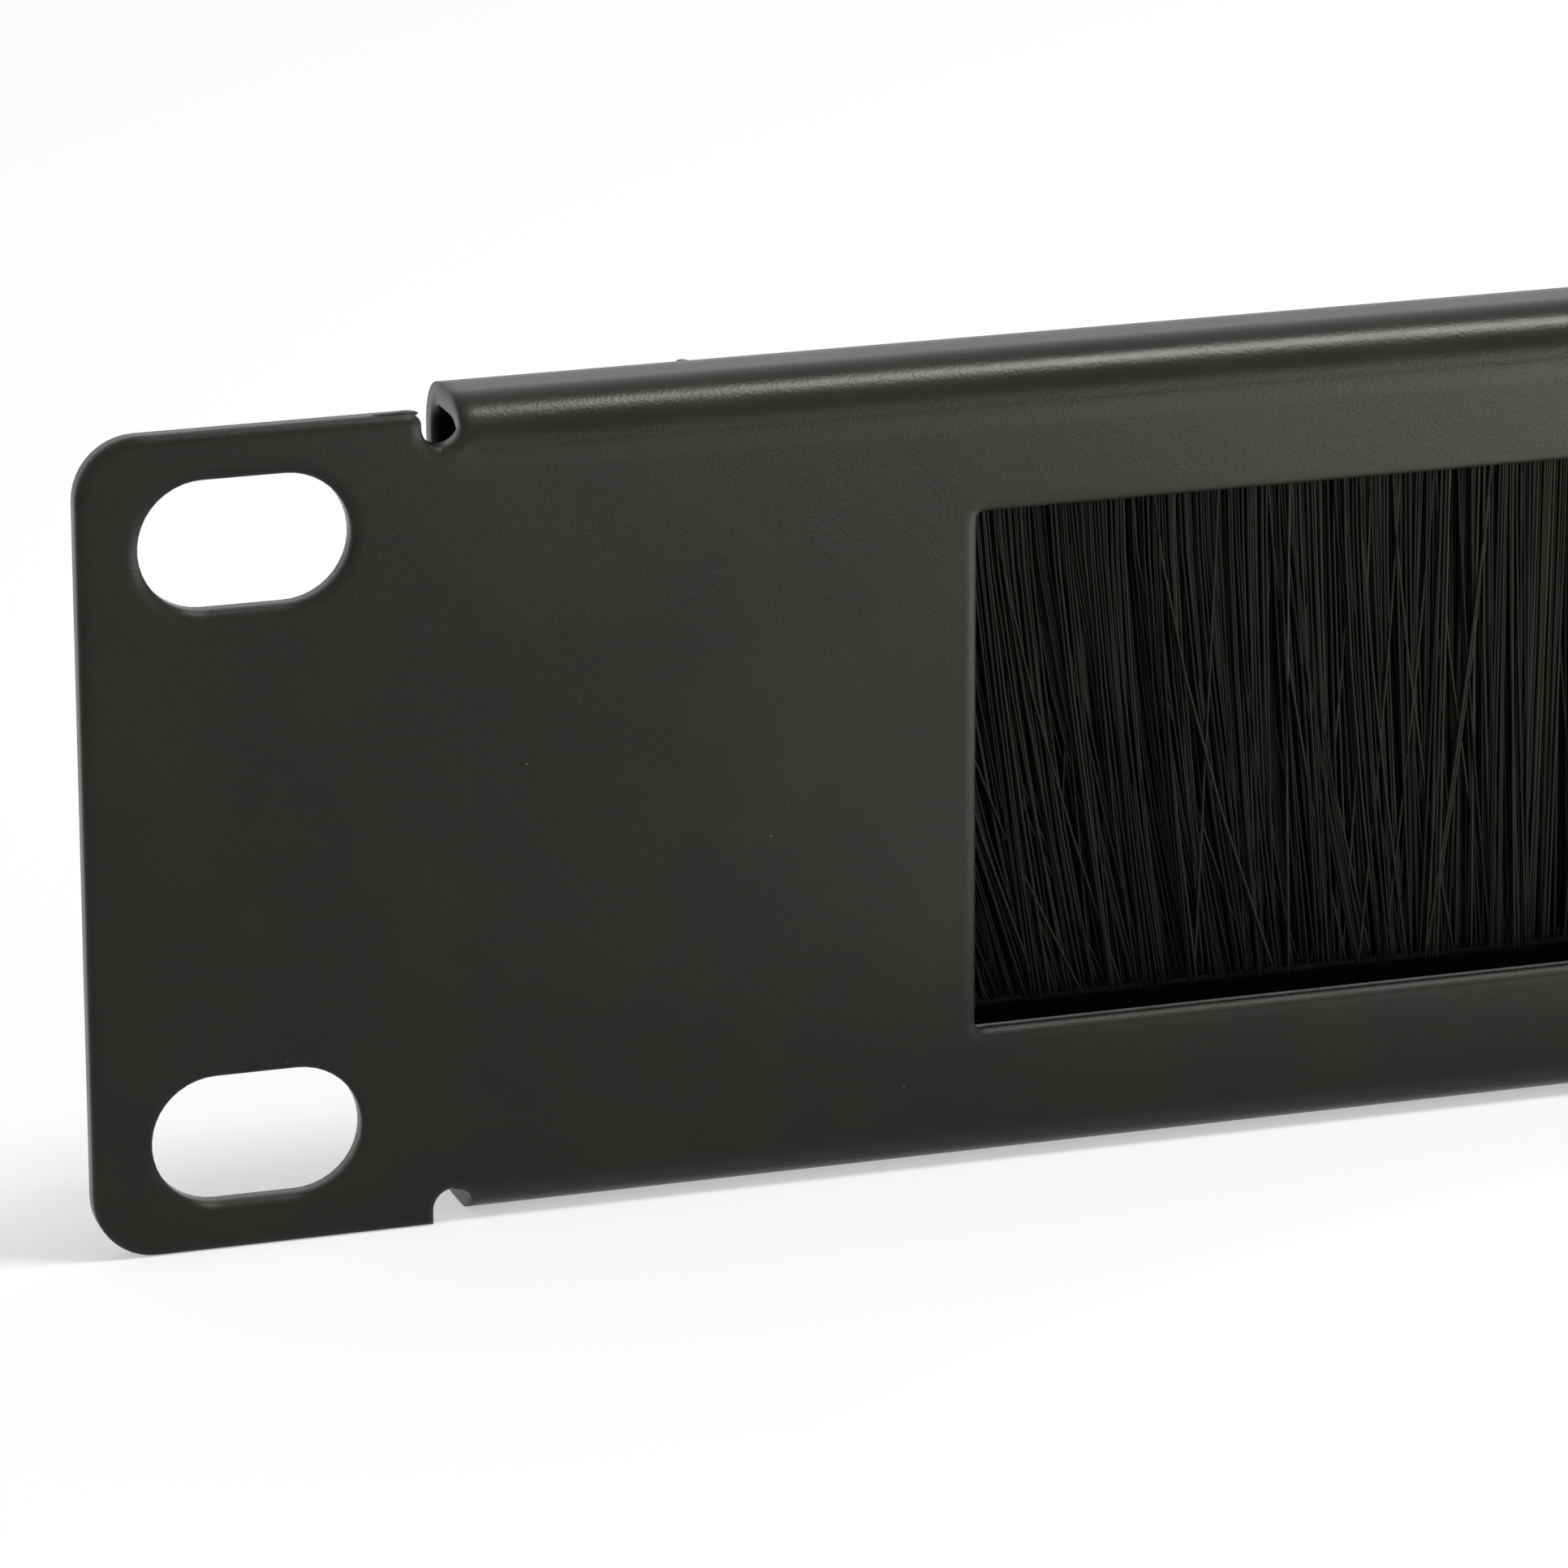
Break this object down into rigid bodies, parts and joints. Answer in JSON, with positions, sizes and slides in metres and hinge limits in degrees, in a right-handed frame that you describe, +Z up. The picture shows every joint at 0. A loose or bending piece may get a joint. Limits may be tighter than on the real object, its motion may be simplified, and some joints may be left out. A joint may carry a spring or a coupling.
{
  "type": "rack brush strip panel",
  "caption": "Folded sheet-steel rack panel with slotted ears and a wide window closed by a hanging strip brush that cables pass through.",
  "frame": {"origin": "centre of the four rack slots, on the rear face of the ears, which bears on the rack's rails", "axes": "+X to the right seen from the front, +Z up, +Y into the rack, so the front faces -Y"},
  "size_m": [0.4826, 0.0072, 0.044],
  "materials": {
    "powder_coat": "black satin powder coat with a fine texture",
    "galvanised_steel": "plain galvanised steel strip",
    "steel_wire": "bright drawn wire",
    "nylon_filament": "black crimp-free nylon filament"
  },
  "bodies": {
    "root": {"panel": "powder_coat", "brush_channel": "galvanised_steel", "core_wire": "steel_wire", "bristles": "nylon_filament"}
  },
  "joints": []
}
